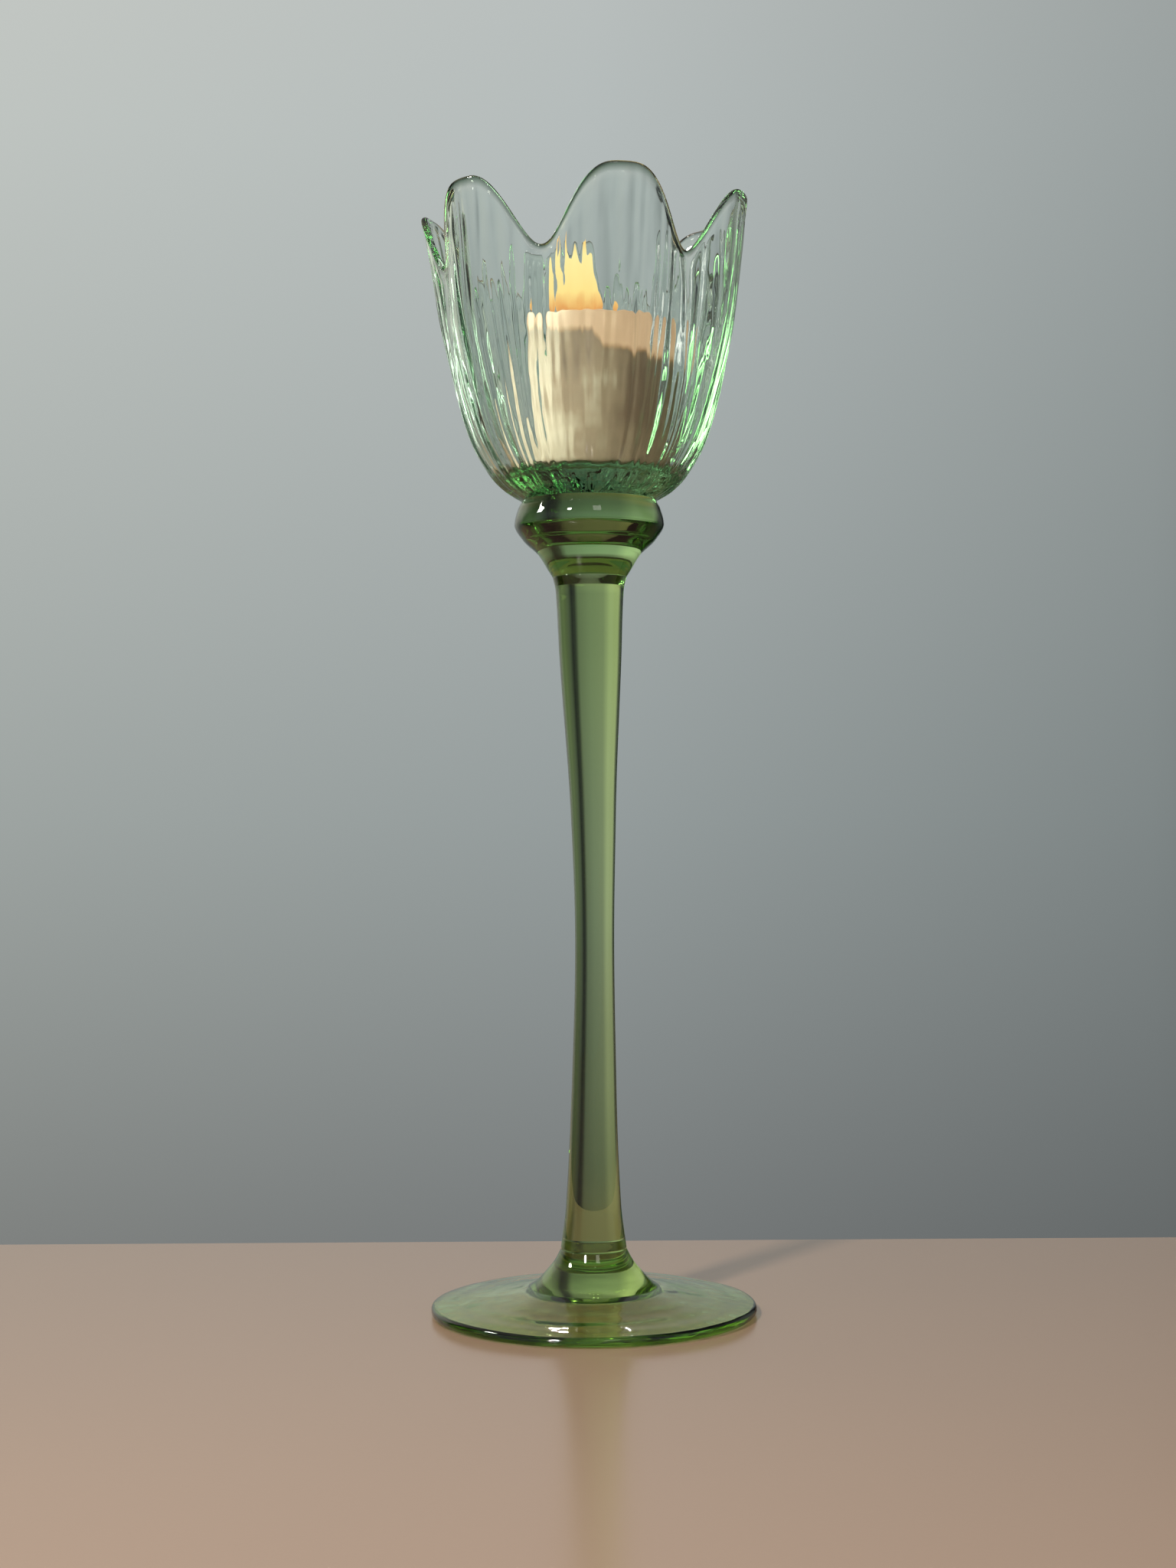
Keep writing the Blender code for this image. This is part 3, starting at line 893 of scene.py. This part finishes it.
def wickRoute(share):
    # Straight up through the candle, then the burnt end leans over.
    floor = waxHigh.z - candle["poolDepth"]
    straight = floor + (wickHigh.z - floor) / 3
    height = wickLow.z + (wickHigh.z - 0.0003 - wickLow.z) * share
    bent = np.clip((height - straight) / (wickHigh.z - straight), 0, 1)
    lean = (candleX - 0.0008) - wickLow.x
    return candleX - lean * bent**2, height


def makeWick(look):
    shares = np.concatenate([np.linspace(0, 0.8, 40), np.linspace(0.8, 1.0, 60)[1:]])
    angles = np.linspace(0, 2 * np.pi, wick["columns"], endpoint=False)
    rings = np.empty((len(shares), len(angles), 3))
    for i, share in enumerate(shares[::-1]):
        x, z = wickRoute(share)
        # Three braided strands make the section three-lobed, and it turns as it rises.
        radius = wick["radius"] * (1 + wick["lobes"] * np.cos(3 * angles + share * wick["twist"]))
        radius = radius * (wick["tip"] if i == 0 else 1.0)
        rings[i, :, 0] = x + radius * np.cos(angles)
        rings[i, :, 1] = radius * np.sin(angles)
        rings[i, :, 2] = z
    piece = gridMesh("braidedWick", rings, look)
    return placePiece(piece, "candle", "wick", "wick")


flame = {
    "height": 0.0310,
    "radius": 0.0090,
    "lean": -0.0090,         # sideways at the tip
    "side": -0.0010,
    "drop": 0.0045,          # its foot is below the wick's tip
    "widest": 0.16,          # share of its height
    "depth": 0.6,            # front to back, as a share of its width
    "strength": 1.3,
    "columns": 48,
}


def flameLook():
    look = Look("candleFlame")
    _, _, up = look.axes(look.spot())
    base = wickHigh.z - 0.006
    share = (up - base) / flame["height"]
    flicker = look.grain(look.stretched((1.0, 1.0, 0.35)), 260.0, 1.0)
    colour = look.ramp(share + (flicker - 0.5) * 0.12, [
        (0.00, (0.10, 0.16, 0.55)),
        (0.14, (0.75, 0.30, 0.08)),
        (0.32, (1.0, 0.72, 0.26)),
        (0.70, (1.0, 0.80, 0.34)),
        (1.00, (1.0, 0.52, 0.12)),
    ])
    surface = look.shader({
        "Base Color": (0.0, 0.0, 0.0, 1.0),
        "Roughness": 1.0,
        "Specular IOR Level": 0.0,
        "Emission Color": colour,
        "Emission Strength": flame["strength"],
        "Alpha": 0.25 + 0.75 * look.ease(share, 0.02, 0.25),
    })
    return look.finish(surface)


def makeFlame(look):
    wickX, _ = wickRoute(1.0)
    base, widest = wickHigh.z - flame["drop"], flame["widest"]
    shares = np.linspace(0.0, 1.0, 60)[1:-1]
    belly = np.clip(shares / widest, 0, 1) ** 0.6 * np.clip((1 - shares) / (1 - widest), 0, 1) ** 1.2
    angles = np.linspace(0, 2 * np.pi, flame["columns"], endpoint=False)
    rings = np.empty((len(shares), len(angles), 3))
    for i, share in enumerate(shares[::-1]):
        radius = flame["radius"] * belly[::-1][i] + 0.00005
        x = wickX + flame["side"] + flame["lean"] * share
        rings[i, :, 0] = x + radius * np.cos(angles)
        rings[i, :, 1] = radius * flame["depth"] * np.sin(angles)
        rings[i, :, 2] = base + flame["height"] * share
    piece = gridMesh("candleFlame", rings, look)
    piece.visible_shadow = False
    return placePiece(piece, "candle", "wick")


sustainer = {
    "bright": (0.68, 0.67, 0.64),
    "dull": (0.52, 0.51, 0.48),
    "ringScale": 700.0,
    "stainScale": 180.0,
    "roughness": (0.28, 0.2),
}


def dressSustainer():
    look = Look("tinnedSteel")
    rings = look.node("ShaderNodeTexWave", {"wave_type": "RINGS", "rings_direction": "Z"},
                      {"Vector": look.spot(), "Scale": sustainer["ringScale"], "Distortion": 0.6}, "Fac")
    stain = look.grain(look.spot(), sustainer["stainScale"], 3.0)
    smooth, uneven = sustainer["roughness"]
    surface = look.shader({
        "Base Color": look.blend(stain, sustainer["dull"], sustainer["bright"]),
        "Metallic": 1.0,
        "Roughness": smooth + uneven * stain,
        "Normal": look.bump(rings, 0.2, 0.0001),
    })
    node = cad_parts["wick_sustainer"]
    node.data.materials.clear()
    node.data.materials.append(look.finish(surface))


makeCamera()
makeStudio()
print("studio ready")
makeFoot(glassLook("footGlass", "foot", 55.0, 0.0006))
makeStem(glassLook("stemGlass", "stem", 40.0, 0.0004))
makeKnop(glassLook("knopGlass", "knop", 45.0, 0.0005))
print("foot, stem and knop ready")
makeCup(glassLook("cupGlass", "cup", 170.0, 0.0003))
print("cup ready")
makeWax(waxLook())
makePool(poolLook())
makeWick(wickLook())
makeFlame(flameLook())
dressSustainer()
print("candle ready")
makeLights()
print("light ready")
bpy.context.scene.view_settings.view_transform = "Standard"
# Light crosses many glass surfaces on its way through the cup.
cycles = bpy.context.scene.cycles
cycles.max_bounces = 24
cycles.glossy_bounces = 12
cycles.transmission_bounces = 24
cycles.transparent_max_bounces = 24
